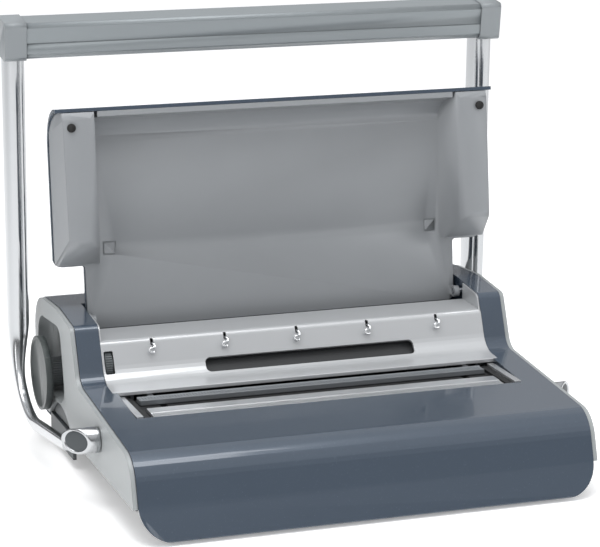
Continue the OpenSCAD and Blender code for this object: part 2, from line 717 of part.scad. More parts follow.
module anvil_pinions() {
    color("#c9b37a") from_front() both_sides()
        pinion(link_x0, link_x0 + leg_t, knob_at, anvil_m, anvil_teeth, lash, 0.5, 0.9,
            knob_shaft_r, 90);
}

// ---- closing-size knob ----
disc_x0 = -body_w/2 - 3;
module knob_disc() {
    color("#6b7070") from_front() {
        difference() {
            bar_x(disc_x0 - 6, disc_x0, knob_at, knob_r);
            bar_x(disc_x0 - 7, disc_x0 - 4.4, knob_at, knob_r - 3);
        }
    }
}
module knob_hub() {
    color("#8a8e90") from_front() difference() {
        bar_x(disc_x0, -body_w/2 + 22, knob_at, hub_r);
        for (i = [0:17]) translate([0, knob_at[0], knob_at[1]]) rotate([i*20, 0, 0])
            translate([0, 0, hub_r + 0.3]) bar_x(disc_x0 - 1, -body_w/2 + 23, [0, 0], 1.2);
        bar_x(disc_x0 - 1, -body_w/2 + 30, knob_at, knob_shaft_r);
    }
}
module knob_shaft() {
    color("#a5a8ab") from_front() bar_x(disc_x0, frame_x + frame_t + 3, knob_at, knob_shaft_r);
}

// ---- lid, drawn leaning back from its lower front edge ----
module lid_frame() {
    from_front() translate([0, lid_root[0], lid_root[1]]) rotate([-lid_lean, 0, 0]) children();
}
neck_x = riser_x - 1;
shell_y = 2.5 + shell_t;
function lid_outline() = [[-90, -40, 0], [shell_y, -40, 0], [shell_y, lid_h, 33],
    [-90, lid_h, 0]];
// Front outline of the lid: a neck between the risers, wide above them
module lid_front(grow) {
    w = body_w/2 + grow;
    n = neck_x + grow;
    polygon(rounded([[-n, 0, 6], [n, 0, 6], [n, neck_h, 2.5], [w, neck_h, 7],
        [w, lid_h + 5, 0], [-w, lid_h + 5, 0], [-w, neck_h, 7], [-n, neck_h, 2.5]]));
}
module lid_front_solid(grow) {
    translate([0, 20, 0]) rotate([90, 0, 0]) linear_extrude(80) lid_front(grow);
}
module lid_shell() {
    color("#4d5966") lid_frame() intersection() {
        lid_front_solid(0);
        difference() {
            along_x(-body_w/2, body_w/2) difference() {
                polygon(rounded(lid_outline()));
                polygon(rounded(inset(lid_outline(), shell_t)));
                translate([-100, -50]) square([70, 300]);
            }
        }
    }
}
module pod(t) {
    // t is how far every face is taken in
    x1 = body_w/2 - 0.8 - t;
    x0 = body_w/2 - pod_w + t;
    intersection() {
        along_x(x0 - 8, x1 + 1) polygon(rounded(inset(
            [[0.1, neck_h + 2.4, 0], [0.1, lid_h - 3.2, 0], [-30, lid_h - 3.2, 2],
             [-33, lid_h - 9, 2.5], [-pod_d, neck_h + 24, 7], [-9.5, neck_h + 2.4, 4]]
             , t) ));
        // plan section: the outer side drafts in, the inner side is chamfered
        translate([0, 0, neck_h - 5]) linear_extrude(lid_h) polygon([[x0 + 3.5, 1 + t],
            [x1, 1 + t], [x1, 0], [x1 - 5.7, -pod_d - 1], [x0 + 23, -pod_d - 1],
            [x0 + 10, t - 31], [x0 + 3.5, 0]]);
        along_x(-body_w, body_w) polygon(rounded(inset(lid_outline(), shell_t + 0.2 + t)));
    }
}
module lid_liner() {
    color("#9a9ea1") lid_frame() {
        // floor
        intersection() {
            lid_front_solid(-1);
            along_x(-body_w, body_w) polygon([[0, 0], [2.4, 0], [2.4, lid_h - 34],
                [0, lid_h - 34]]);
            // a shallow square recess at each side
            difference() {
                box(-body_w, body_w, -50, 50, -10, lid_h);
                both_sides() difference() {
                    box(144, 156, -1, 0.7, neck_h + 8, neck_h + 20);
                    box(145.2, 154.8, -2, 2, neck_h + 9.2, neck_h + 18.8);
                }
            }
        }
        both_sides() difference() {
            pod(0);
            pod(2.4);
        }
        // top flange between the pods, with its curve down to the floor
        intersection() {
            along_x(-body_w/2 + pod_w - 7, body_w/2 - pod_w + 7) difference() {
                polygon(rounded([[0, lid_h - 34, 0], [2.4, lid_h - 34, 0],
                    [2.4, lid_h - 3.2, 30], [-30, lid_h - 3.2, 0],
                    [-30, lid_h - 8, 1], [0, lid_h - 12, 24]]));
            }
            along_x(-body_w, body_w) polygon(rounded(inset(lid_outline(), shell_t + 0.2)));
        }
        // hinge ears at the foot of the neck
        both_sides() difference() {
            union() {
                bar_x(neck_x - 5.5, neck_x - 0.5, hinge_local, hinge_r + 2);
                box(neck_x - 5.5, neck_x - 0.5, hinge_local[0], 0.5, hinge_local[1] - 4,
                    hinge_local[1] + 4);
            }
            bar_x(neck_x - 20, neck_x + 5, hinge_local, hinge_r);
        }
    }
}
hinge_r = 3;
hinge_local = let (d = hinge_at - lid_root, c = cos(lid_lean), s = sin(lid_lean))
    [d[0]*c - d[1]*s, d[0]*s + d[1]*c];
module lid_hinge_pins() {
    color("#a5a8ab") from_front() both_sides()
        bar_x(neck_x - 5.5, riser_x + 5, hinge_at, hinge_r);
}
bumper_r = 3.7;
module lid_bumpers() {
    color("#0d0d0d") lid_frame() both_sides()
        translate([body_w/2 - 13, 0, lid_h - 16]) rotate([90, 0, 0])
            translate([0, 0, 33.45]) cylinder(h = 1.6, r = bumper_r);
}

// ---- waste drawer ----
drawer_x0 = -pan_x - 2;
drawer_x1 = frame_x + 8;
module waste_drawer() {
    z0 = foot_h + pan_t + 1;
    color("#33373a") from_front() difference() {
        box(drawer_x0, drawer_x1, drawer_y0, drawer_y1, z0, drawer_z1);
        box(drawer_x0 + 2, drawer_x1 - 2, drawer_y0 + 2, drawer_y1 - 2, z0 + 2, 60);
    }
}
front_x1 = -body_w/2 + 10;
module drawer_front() {
    color("#4a4e50") from_front() {
        box(front_x1 - 9, front_x1 - 6, 216, 298, 9, drawer_z1);
        box(front_x1 - 6 - EPS, drawer_x0, drawer_y0 + 6, drawer_y1 - 6, 12, drawer_z1 - 3);
    }
}
// Dark plate that closes the arch above the drawer
module drawer_surround() {
    color("#3b3f42") from_front() box(-panel_x + 0.1, -panel_x + 2.6, arch_at[0] - 52,
        arch_at[0] + 52, 31, 47.8);
}

// ---- edge guide: thumbwheel, screw and stop ----
module guide_thumbwheel() {
    color("#555a5c") from_front() difference() {
        bar_x(-wheel_x - wheel_t/2, -wheel_x + wheel_t/2, wheel_c, wheel_r);
        for (i = [0:35]) translate([0, wheel_c[0], wheel_c[1]]) rotate([i*10, 0, 0])
            translate([0, 0, wheel_r + 0.25]) bar_x(-riser_x, -100, [0, 0], 0.8);
        bar_x(-riser_x - 10, -100, wheel_c, screw_r);
    }
}
module guide_screw() {
    color("#a5a8ab") from_front() {
        bar_x(-wheel_x - wheel_t/2 - 22, -frame_x + 1, wheel_c, screw_r);
    }
}
guide_z0 = 86;
sheet_edge = 148.5;                      // half of the 297 mm sheet
module edge_guide() {
    x0 = -wheel_x - wheel_t/2 - 10;
    color("#d0d2d4") from_front() difference() {
        union() {
            box(x0 - 4, x0, wheel_c[0] - 5, wheel_c[0] + 5, wheel_c[1] - 5, wheel_c[1] + 5);
            box(x0 - 4, x0, wheel_c[0] + 4, gap_y1 - 0.3, wheel_c[1] - 3, wheel_c[1] + 5);
            box(x0 - 4, x0, gap_y0 - 4, gap_y1 - 0.3, wheel_c[1] - 3, plate_top);
            box(x0 - 1, -sheet_edge, gap_y0 + 0.3, gap_y1 - 0.3, guide_z0, plate_top - 1);
        }
        bar_x(x0 - 10, x0 + 10, wheel_c, screw_r + run_clear);
    }
}

bottom_pan();
rubber_feet();
cover_screws();
top_cover();
side_panel_left();
side_panel_right();
centre_panel();
window_tray();
wire_hooks();
side_frame_left();
side_frame_right();
shaft_bushes();
tie_rods();
tie_rod_screws();
pin_guide_plate();
die_plate();
sheet_stop();
closer_bed();
closer_end_strips();
return_springs();
handle_arm_left();
handle_arm_right();
grip_bar();
grip_cap_left();
grip_cap_right();
arm_inlays();
main_shaft();
ram_pinions();
spring_collars();
punch_ram();
punch_pins();
pull_rack_left();
pull_rack_right();
ram_screws();
closer_pusher();
pusher_racks();
closer_anvil();
anvil_links();
knob_disc();
knob_hub();
knob_shaft();
anvil_pinions();
lid_shell();
lid_liner();
lid_bumpers();
lid_hinge_pins();
waste_drawer();
drawer_front();
drawer_surround();
guide_thumbwheel();
guide_screw();
edge_guide();
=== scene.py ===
import math

import bmesh
import bpy
from mathutils import Matrix, Vector


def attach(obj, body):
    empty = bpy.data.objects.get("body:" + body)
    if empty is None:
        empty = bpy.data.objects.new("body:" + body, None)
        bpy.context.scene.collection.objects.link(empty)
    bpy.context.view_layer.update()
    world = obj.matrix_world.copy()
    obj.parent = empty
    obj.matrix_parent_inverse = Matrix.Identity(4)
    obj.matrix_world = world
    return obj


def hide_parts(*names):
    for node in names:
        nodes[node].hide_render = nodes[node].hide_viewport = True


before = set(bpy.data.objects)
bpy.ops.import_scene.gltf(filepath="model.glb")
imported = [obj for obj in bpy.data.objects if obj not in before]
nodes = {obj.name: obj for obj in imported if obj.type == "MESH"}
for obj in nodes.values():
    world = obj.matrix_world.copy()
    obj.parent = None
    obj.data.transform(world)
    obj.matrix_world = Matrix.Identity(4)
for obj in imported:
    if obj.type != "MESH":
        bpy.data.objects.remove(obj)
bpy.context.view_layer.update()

scene = bpy.context.scene


# ---- Bottom pan, cover screws and feet ----
# A folded sheet-steel pan closes the case from below, enamelled black. It stands on four
# moulded rubber feet, and four zinc-plated screws hold the cover to it.
def linear(code):
    """An sRGB hex colour as Blender's linear RGBA."""
    parts = [int(code[i:i + 2], 16) / 255 for i in (1, 3, 5)]
    return [c / 12.92 if c <= 0.04045 else ((c + 0.055) / 1.055) ** 2.4 for c in parts] + [1.0]


def add(tree, kind, settings=None, **links):
    """Adds a node. settings are attributes or unlinked sockets; links name the sockets fed."""
    node = tree.nodes.new(kind)
    for key, value in (settings or {}).items():
        if isinstance(key, str) and hasattr(node, key):
            setattr(node, key, value)
        else:
            node.inputs[key].default_value = value
    for key, source in links.items():
        name = int(key[1:]) if key[0] == "_" else key.replace("_", " ")
        tree.links.new(source, node.inputs[name])
    return node


def finish_of(name, hue, rough, metal=0.0, grain=0.4, stretch=(1, 1, 1), depth=0.02,
              spread=0.08, vary=0.06, edge=0.5, coat=0.0, ior=1.5, fleck=0.0, dark=0.86):
    """A moulded, painted or milled surface. grain is the pattern's size in mm, stretch draws it
    out along an axis, depth is its relief in mm, edge the roundness of worn edges in mm. spread
    and vary are how far gloss and tint wander, and dark is how deep the painted shade in the
    corners goes."""
    patches = 28.0    # broad unevenness of the tint, in patches per metre
    flake = 0.7       # mm; a real flake is under 0.1, drawn this coarse so that it shows
    mat = bpy.data.materials.new(name)
    mat.use_nodes = True
    tree = mat.node_tree
    tree.nodes.clear()
    place = add(tree, "ShaderNodeTexCoord").outputs["Object"]
    drawn = add(tree, "ShaderNodeMapping", {"Scale": stretch}, Vector=place).outputs["Vector"]
    fine = add(tree, "ShaderNodeTexNoise", {"Scale": 1000 / grain, "Detail": 3.0}, Vector=drawn)
    broad = add(tree, "ShaderNodeTexNoise", {"Scale": patches, "Detail": 2.0}, Vector=drawn)
    tint = linear(hue)
    low = [c * (1 - vary) for c in tint[:3]] + [1]
    high = [min(1, c * (1 + vary)) for c in tint[:3]] + [1]
    blend = add(tree, "ShaderNodeMix", {"data_type": "RGBA"}, _0=broad.outputs["Fac"])
    blend.inputs[6].default_value = low
    blend.inputs[7].default_value = high
    colour = blend.outputs[2]
    # painted glint: pale flakes, with their sparkle painted in as brighter spots of the tint
    if fleck:
        cells = add(tree, "ShaderNodeTexVoronoi", {"Scale": 1000 / flake}, Vector=place)
        flake_glint_amount = add(tree, "ShaderNodeMapRange", {"From Min": 0.86, "From Max": 1.0,
                    "To Max": fleck}, Value=cells.outputs["Color"])
        flake_glint_mix = add(tree, "ShaderNodeMix", {"data_type": "RGBA"}, _0=flake_glint_amount.outputs["Result"],
                    _6=colour)
        flake_glint_mix.inputs[7].default_value = [min(1, c * 2.6 + 0.05) for c in tint[:3]] + [1]
        colour = flake_glint_mix.outputs[2]
    # painted shade: the tint is darkened where other surfaces come within 6 mm, in corners,
    # creases and gaps
    near = add(tree, "ShaderNodeAmbientOcclusion", {"Distance": 0.006, "samples": 4})
    painted_corner_shade = add(tree, "ShaderNodeMapRange", {"To Min": dark, "To Max": 1.0},
               Value=near.outputs["AO"])
    shade = add(tree, "ShaderNodeMix", {"data_type": "RGBA", "blend_type": "MULTIPLY"},
                _6=colour, _7=painted_corner_shade.outputs["Result"])
    shade.inputs[0].default_value = 1.0
    even = add(tree, "ShaderNodeMapRange", {"To Min": max(0.02, rough - spread),
               "To Max": min(1.0, rough + spread)}, Value=fine.outputs["Fac"])
    soft = add(tree, "ShaderNodeBevel", {"Radius": edge / 1000, "samples": 4})
    relief = add(tree, "ShaderNodeBump", {"Distance": depth / 1000, "Strength": 1.0},
                 Height=fine.outputs["Fac"], Normal=soft.outputs["Normal"])
    shader = add(tree, "ShaderNodeBsdfPrincipled", {"Metallic": metal, "IOR": ior,
                 "Coat Weight": coat, "Coat Roughness": 0.06},
                 Base_Color=shade.outputs[2], Roughness=even.outputs["Result"],
                 Normal=relief.outputs["Normal"])
    add(tree, "ShaderNodeOutputMaterial", None, Surface=shader.outputs["BSDF"])
    return mat


def dress(mat, *names):
    """Gives CAD nodes that keep their shape a better finish."""
    for name in names:
        data = nodes[name].data
        data.materials.clear()
        data.materials.append(mat)


def settle(obj, mat, body, slot_name, *stands_for):
    """Finishes a new piece: one material, its body and the nodes it stands for; slot_name is not
    used.
    """
    obj.data.materials.clear()
    obj.data.materials.append(mat)
    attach(obj, body)
    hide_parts(*stands_for)


def make(name, mesh):
    obj = bpy.data.objects.new(name, mesh)
    scene.collection.objects.link(obj)
    return obj


def smooth_by_angle(mesh, angle):
    mesh.polygons.foreach_set("use_smooth", [True] * len(mesh.polygons))
    mesh.set_sharp_from_angle(angle=math.radians(angle))


def closed(mesh):
    """Merges doubles and turns every face outwards."""
    work = bmesh.new()
    work.from_mesh(mesh)
    bmesh.ops.remove_doubles(work, verts=work.verts, dist=2e-6)
    bmesh.ops.recalc_face_normals(work, faces=work.faces)
    work.to_mesh(mesh)
    work.free()


half_depth = 0.175    # from the front bottom edge, where sizes in mm start, to the middle


def loft(name, rings, angle=30):
    """A closed skin over rings of points, given in mm from the front bottom edge."""
    count = len(rings[0])
    verts = [(x / 1000, y / 1000 - half_depth, z / 1000) for ring in rings for x, y, z in ring]
    faces = []
    for i in range(len(rings) - 1):
        for j in range(count):
            k = (j + 1) % count
            faces.append((i * count + j, i * count + k, (i + 1) * count + k, (i + 1) * count + j))
    faces.append(tuple(range(count)))
    faces.append(tuple((len(rings) - 1) * count + j for j in range(count)))
    mesh = bpy.data.meshes.new(name)
    mesh.from_pydata(verts, [], faces)
    closed(mesh)
    smooth_by_angle(mesh, angle)
    return mesh


def joined(name, *meshes):
    work = bmesh.new()
    for mesh in meshes:
        work.from_mesh(mesh)
    mesh = bpy.data.meshes.new(name)
    work.to_mesh(mesh)
    work.free()
    return mesh


def moved(mesh, matrix):
    copy = mesh.copy()
    copy.transform(matrix)
    if matrix.determinant() < 0:
        copy.flip_normals()
    return copy


def node_tree(name, inputs):
    tree = bpy.data.node_groups.new(name, "GeometryNodeTree")
    for label, kind in inputs:
        tree.interface.new_socket(name=label, in_out="INPUT", socket_type="NodeSocket" + kind)
    tree.interface.new_socket(name="Geometry", in_out="OUTPUT",
                              socket_type="NodeSocketGeometry")
    return tree


def finish_tree(tree, last, outside):
    whole = add(tree, "GeometryNodeRealizeInstances", None, Geometry=last)
    surfaced = add(tree, "GeometryNodeSetMaterial", None, Geometry=whole.outputs[0],
                   Material=outside.outputs["Material"])
    add(tree, "NodeGroupOutput", None, Geometry=surfaced.outputs[0])


def row_tree():
    """Repeats the mesh it is given: Count copies, each one Offset and Turn further on."""
    tree = node_tree("row", [("Geometry", "Geometry"), ("Count", "Int"), ("Offset", "Vector"),
                             ("Turn", "Vector"), ("Material", "Material")])
    outside = add(tree, "NodeGroupInput")
    line = add(tree, "GeometryNodeMeshLine", {"mode": "OFFSET"}, Count=outside.outputs["Count"],
               Offset=outside.outputs["Offset"])
    step = add(tree, "ShaderNodeVectorMath", {"operation": "SCALE"},
               _0=outside.outputs["Turn"],
               Scale=add(tree, "GeometryNodeInputIndex").outputs[0])
    angle = add(tree, "FunctionNodeEulerToRotation", None, Euler=step.outputs[0])
    placed = add(tree, "GeometryNodeInstanceOnPoints", None, Points=line.outputs[0],
                 Instance=outside.outputs["Geometry"], Rotation=angle.outputs[0])
    finish_tree(tree, placed.outputs[0], outside)
    return tree


def grown(name, tree, base, values):
    """Runs a node tree on a mesh and returns the plain mesh it makes."""
    obj = make(name, base)
    modifier = obj.modifiers.new(name, "NODES")
    modifier.node_group = tree
    for item in tree.interface.items_tree:
        if item.in_out == "INPUT" and item.name in values:
            modifier[item.identifier] = values[item.name]
    obj.update_tag()
    ready = obj.evaluated_get(bpy.context.evaluated_depsgraph_get())
    mesh = bpy.data.meshes.new_from_object(ready)
    obj.modifiers.clear()
    bpy.data.objects.remove(obj)
    return mesh


def row(name, unit, count, offset, mat, turn=(0, 0, 0)):
    """count copies of a mesh, each one offset (in m) and turn further on."""
    values = {"Count": count, "Offset": offset, "Turn": turn, "Material": mat}
    return grown(name, rows, unit, values)


rows = row_tree()


def screw_head(name, radius, high, key):
    """A domed screw head in mm with a hexagonal socket of half-width key, its top towards -Z."""
    sides = 36
    turn = [2 * math.pi * j / sides for j in range(sides)]

    def hexagon(a):
        return key / math.cos((a + math.pi / 6) % (math.pi / 3) - math.pi / 6)

    plan = [(0.0, lambda a: radius), (-0.55 * high, lambda a: radius),
            (-0.9 * high, lambda a: 0.86 * radius), (-high, lambda a: 0.62 * radius),
            (-high, lambda a: 1.06 * hexagon(a)), (-0.92 * high, hexagon),
            (-0.35 * high, hexagon)]
    middle = 1000 * half_depth
    rings = [[(reach(a) * math.cos(a), reach(a) * math.sin(a) + middle, z) for a in turn]
             for z, reach in plan]
    return loft(name, rings, 35)


# Black enamel over steel: a low, even sheen with a fine orange-peel texture.
pan_enamel = finish_of("black_enamel", "#26292c", 0.5, grain=0.8, depth=0.02)
# Moulded rubber: deep black, dull, slightly grainy.
foot_rubber = finish_of("moulded_rubber", "#141414", 0.8, grain=0.5, depth=0.03, edge=0.8)
# Zinc-plated steel: pale grey metal with a soft sheen.
zinc = finish_of("zinc_plated_steel", "#c4c6c8", 0.34, 1.0, grain=0.3, depth=0.004)
dress(pan_enamel, "bottom_pan")
dress(foot_rubber, "rubber_feet")
dress(zinc, "tie_rod_screws", "ram_screws")
head = screw_head("cover_screw", 3.8, 2.0, 1.5)
screw_gap, pan_recess = 0.220, 0.004
front_row, rear_row = 0.044, 0.328
pair = row("screw_pair", head, 2, (screw_gap, 0, 0), zinc)
front_pair, rear_pair = [
    moved(pair, Matrix.Translation((-screw_gap / 2, row_y - half_depth, pan_recess)))
    for row_y in (front_row, rear_row)]
screws = make("cover_screw_heads", joined("cover_screw_heads", front_pair, rear_pair))
settle(screws, zinc, "base", "zinc_screw", "cover_screws")


# ---- Top cover ----
# One glossy ABS moulding in blue-grey with a fine metallic fleck: apron, front deck, two
# risers and the rear deck. It is screwed to the pan from below.
def skin(name, mat, body, slot_name, angle):
    """A copy of a CAD node with its doubles merged, so its curves shade as one moulded surface."""
    mesh = nodes[name].data.copy()
    work = bmesh.new()
    work.from_mesh(mesh)
    bmesh.ops.remove_doubles(work, verts=work.verts, dist=2e-6)
    bmesh.ops.dissolve_degenerate(work, edges=work.edges, dist=1e-6)
    work.to_mesh(mesh)
    work.free()
    smooth_by_angle(mesh, angle)
    settle(make(name + "_skin", mesh), mat, body, slot_name, name)


# Gloss ABS with metallic flake: a clear reflection of the lights over a tint with pale flakes,
# their sparkle a painted glint.
case_gloss = finish_of("gloss_blue_grey_abs", "#3e4a58", 0.26, 0.25, grain=0.9, depth=0.003,
                       spread=0.03, vary=0.03, edge=1.0, coat=0.8, ior=1.52, fleck=0.18)
skin("top_cover", case_gloss, "base", "case_blue", 24)


# ---- Side panels ----
# Two satin grey ABS plates close the case's sides. The left one has the scooped pocket for
# the knob and an arch over the chip drawer.

# Satin ABS with a spark-eroded grain: a broad, soft highlight and no clear reflection.
panel_satin = finish_of("satin_grey_abs", "#979b9c", 0.42, 0.1, grain=0.6, depth=0.012,
                        spread=0.05, vary=0.03, edge=1.0)
skin("side_panel_left", panel_satin, "base", "panel_grey", 24)
skin("side_panel_right", panel_satin, "base", "panel_grey", 24)


# ---- Centre panel, window and wire hooks ----
# A moulded panel painted satin silver joins the two risers. It has a long window over a dark
# tray, five slots with bright wire hooks, and a slot for the thumbwheel.

# Satin silver paint: metallic and even, brighter than the plain ABS beside it.
silver_paint = finish_of("satin_silver_paint", "#bcbec0", 0.34, 0.45, grain=0.35, depth=0.006,
                         spread=0.05, vary=0.02, edge=0.6)
# Textured dark ABS, almost black and dull: partly the tray's own dark plastic, partly painted
# shade, so that the tray reads as a hole.
tray_dark_and_shade = finish_of("dark_textured_abs_and_shade", "#2a2c2e", 0.55, grain=0.7, depth=0.02)
skin("centre_panel", silver_paint, "base", "panel_silver", 24)
dress(tray_dark_and_shade, "window_tray")
# Polished steel wire: near-mirror highlights along its length.
bright_wire = finish_of("polished_wire", "#e4e6e8", 0.12, 1.0, grain=0.4, depth=0.002)

hook_foot = (193.6, 82.3)                # y and z where the panel's steep face begins
hook_slope = math.atan2(45.6, 18.9)
first_slot_x, hook_shift = -131, 0.8     # middle of the left slot; the hooks sit a little right
hook_pitch, hook_count = 0.0655, 5
wire_r = 1.05


def on_face(x, d, out):
    """A point of the steep face in mm: x across, d up it, out from it."""
    return (x, hook_foot[0] + d * math.cos(hook_slope) - out * math.sin(hook_slope),
            hook_foot[1] + d * math.sin(hook_slope) + out * math.cos(hook_slope))


def wire(name, points, radius):
    """A round wire through a list of points in mm, narrowed at its ends."""
    sides = 14
    way = [Vector(p) for p in points]
    side = Vector((1, 0.2, 0.1))
    rings = []
    last = len(way) - 1
    for i, spot in enumerate(way):
        ahead_dir = (way[min(i + 1, last)] - way[max(i - 1, 0)]).normalized()
        u = ahead_dir.cross(side).normalized()
        v = ahead_dir.cross(u)
        r = radius * (0.55 if i in (0, last) else 1.0)
        rings.append([tuple(spot + r * (math.cos(a) * u + math.sin(a) * v))
                      for a in (2 * math.pi * j / sides for j in range(sides))])
    return loft(name, rings, 60)


def flowing(points):
    """A smooth way through a list of points."""
    steps = 5
    way = [Vector(p) for p in points]
    way = [2 * way[0] - way[1]] + way + [2 * way[-1] - way[-2]]
    out = []
    for a, b, c, d in zip(way, way[1:], way[2:], way[3:]):
        for i in range(steps):
            t = i / steps
            out.append(0.5 * (2 * b + (c - a) * t + (2 * a - 5 * b + 4 * c - d) * t * t
                              + (3 * b - 3 * c + d - a) * t * t * t))
    return out + [way[-2]]


# out of the slot, round to the side and back under itself in a curl
bend = [(0.2, 31.0, -5.0), (0.3, 30.6, -1.0), (0.8, 29.4, 1.6), (1.6, 27.4, 2.9),
        (0.2, 25.9, 3.5), (-2.4, 25.3, 3.7), (-3.7, 23.7, 3.4), (-2.5, 22.1, 3.0),
        (-0.3, 21.9, 2.6), (0.9, 22.9, 2.2)]
hook_points = flowing([on_face(hook_shift + first_slot_x + dx, d, out) for dx, d, out in bend])
hook = wire("hook", hook_points, wire_r)
hooks = row("hooks", hook, hook_count, (hook_pitch, 0, 0), bright_wire)
smooth_by_angle(hooks, 60)
settle(make("wire_hook_row", hooks), bright_wire, "base", "bright_wire", "wire_hooks")


# ---- Frames, plates and shaft bushes ----
# Pressed steel side frames, the guide and die plates with the sheet slot between them, tie
# rods, brass bushes and the return springs, all bolted up inside the case.
def mirrored(mesh):
    return moved(mesh, Matrix.Scale(-1, 4, (1, 0, 0)))


def coil_tree():
    """A round wire wound into a coil about Z."""
    tree = node_tree("coil", [("Geometry", "Geometry"), ("Turns", "Float"), ("Radius", "Float"),
                              ("Length", "Float"), ("Wire Radius", "Float"),
                              ("Material", "Material")])
    outside = add(tree, "NodeGroupInput")
    spiral = add(tree, "GeometryNodeCurveSpiral", {"Resolution": 36},
                 Rotations=outside.outputs["Turns"], Start_Radius=outside.outputs["Radius"],
                 End_Radius=outside.outputs["Radius"], Height=outside.outputs["Length"])
    round_wire = add(tree, "GeometryNodeCurvePrimitiveCircle", {"Resolution": 12},
                     Radius=outside.outputs["Wire Radius"])
    tube = add(tree, "GeometryNodeCurveToMesh", {"Fill Caps": True}, Curve=spiral.outputs[0],
               Profile_Curve=round_wire.outputs[0])
    finish_tree(tree, tube.outputs[0], outside)
    return tree


coils = coil_tree()

# Pressed, milled and turned steel: grey metals, each brighter than the last, with the faint
# lines of rolling or cutting drawn out along the way the tool went.
sheet_steel = finish_of("pressed_steel", "#8e9296", 0.38, 1.0, grain=0.5,
                        stretch=(0.05, 1, 1), depth=0.006)
milled_steel = finish_of("milled_steel", "#a6a9ac", 0.3, 1.0, grain=0.4,
                         stretch=(0.04, 1, 1), depth=0.006)
turned_steel = finish_of("turned_steel", "#b4b6b9", 0.24, 1.0, grain=0.3,
                         stretch=(1, 0.05, 0.05), depth=0.004)
# Oiled spring steel: dark, with a wet-looking highlight on each turn.
spring_steel = finish_of("oiled_spring_steel", "#5d6165", 0.3, 1.0, grain=0.4)
# Machined brass: a warm yellow metal.
brass = finish_of("machined_brass", "#c9a255", 0.28, 1.0, grain=0.4, depth=0.004)
dress(sheet_steel, "side_frame_left", "side_frame_right")
dress(milled_steel, "pin_guide_plate", "die_plate", "sheet_stop")
dress(turned_steel, "tie_rods")
dress(brass, "shaft_bushes")
shaft_at = (120, 56)      # y and z of the main shaft
spring_x = 0.0703
coil = grown("spring", coils, bpy.data.meshes.new("none"), {
    "Turns": 6.0, "Radius": 0.0075, "Length": 0.0125, "Wire Radius": 0.00095,
    "Material": spring_steel})
shaft_y, shaft_z = shaft_at[0] / 1000 - half_depth, shaft_at[1] / 1000
coil.transform(Matrix.Translation((spring_x, shaft_y, shaft_z))
               @ Matrix.Rotation(math.radians(90), 4, "Y"))
smooth_by_angle(coil, 60)
springs = make("spring_coils", joined("spring_coils", coil, mirrored(coil)))
settle(springs, spring_steel, "base", "spring_steel", "return_springs")


# ---- Wire closer ----
# A black bed lies in the slot of the deck, with bright steel strips at its ends. The front
# bar is pushed back by the handle; the rear bar is the stop that the knob sets.
def extruded(name, outline, x0, x1, bevel):
    """A (y, z) outline drawn out along X, its edges eased by a bevel in mm."""
    mesh = loft(name, [[(x, y, z) for y, z in outline] for x in (x0, x1)])
    work = bmesh.new()
    work.from_mesh(mesh)
    bmesh.ops.bevel(work, geom=list(work.edges), offset=bevel / 1000, segments=2,
                    affect="EDGES", clamp_overlap=True)
    work.to_mesh(mesh)
    work.free()
    smooth_by_angle(mesh, 30)
    return mesh


# Matt black moulding: a flat dark ground that sets off the bars.
bed_black = finish_of("matt_black_bed", "#121315", 0.6, grain=0.6, depth=0.02)
# Ground steel strip: bright, with fine lines across the bar.
bright_strip = finish_of("bright_ground_steel", "#cfd1d3", 0.32, 0.85, grain=0.4,
                         stretch=(1, 0.05, 1), depth=0.004)
# Textured grey enamel over steel: a coarse, broken sheen.
stop_grey = finish_of("textured_grey_enamel", "#8b8f93", 0.4, 0.6, grain=1.4, depth=0.03)
dress(bed_black, "closer_bed")
dress(bright_strip, "closer_end_strips")
bar_end = 156             # half the closer's length, mm
tooth_count, tooth_pitch = 141, 0.0022
ridge_count, ridge_pitch = 119, 0.0026
pusher = extruded("pusher", [(105.7, 71.9), (130.9, 71.9), (130.9, 75.2), (117.4, 75.2),
                             (116.6, 74.6), (106.3, 74.5), (105.7, 74.0)],
                  -bar_end, bar_end, 0.25)
tooth = extruded("tooth", [(106.0, 74.2), (116.9, 74.2), (116.7, 75.1), (106.4, 74.9)],
                 -154.6, -153.5, 0.18)
teeth = row("teeth", tooth, tooth_count, (tooth_pitch, 0, 0), bright_strip)
settle(make("pusher_bar", joined("pusher_bar", pusher, teeth)), bright_strip, "closer_jaw",
       "strip_bright", "closer_pusher")
anvil = extruded("anvil", [(150.0, 71.9), (162.3, 71.9), (162.3, 76.3), (160.9, 76.3),
                           (160.5, 75.7), (151.7, 75.7), (151.3, 76.3), (150.0, 76.3)],
                 -bar_end, bar_end, 0.2)
ridge = extruded("ridge", [(151.9, 75.5), (160.3, 75.5), (160.1, 76.25), (152.1, 76.25)],
                 -154.8, -153.6, 0.2)
ridges = row("ridges", ridge, ridge_count, (ridge_pitch, 0, 0), stop_grey)
settle(make("anvil_bar", joined("anvil_bar", anvil, ridges)), stop_grey, "closer_stop",
       "anvil_grey", "closer_anvil")
dress(milled_steel, "pusher_racks", "anvil_links")


# ---- Handle ----
# Two satin-chromed arms with a groove down their front carry an enamelled grip bar with
# moulded end caps. They are fixed to the main shaft, which crosses the machine.

# Satin chrome over steel tube: long clear streaks of light and dark down the arms.
chrome = finish_of("satin_chrome", "#b6b8ba", 0.18, 1.0, grain=0.6, stretch=(1, 1, 0.06),
                   depth=0.003, spread=0.05)
# Silver-grey enamel over metal: smooth, with a soft edge to its highlight.
grip_enamel = finish_of("silver_grey_enamel", "#868c8f", 0.36, 0.3, grain=0.5,
                        depth=0.002, spread=0.03, vary=0.02, edge=0.8)
# Satin moulded caps and the dark inlays in the bosses: plain, with rounded edges.
cap_satin = finish_of("satin_grey_cap", "#868b8e", 0.42, 0.1, grain=0.6, depth=0.01, edge=1.2)
inlay_black = finish_of("dark_inlay", "#43484b", 0.5, 0.1, grain=0.5)


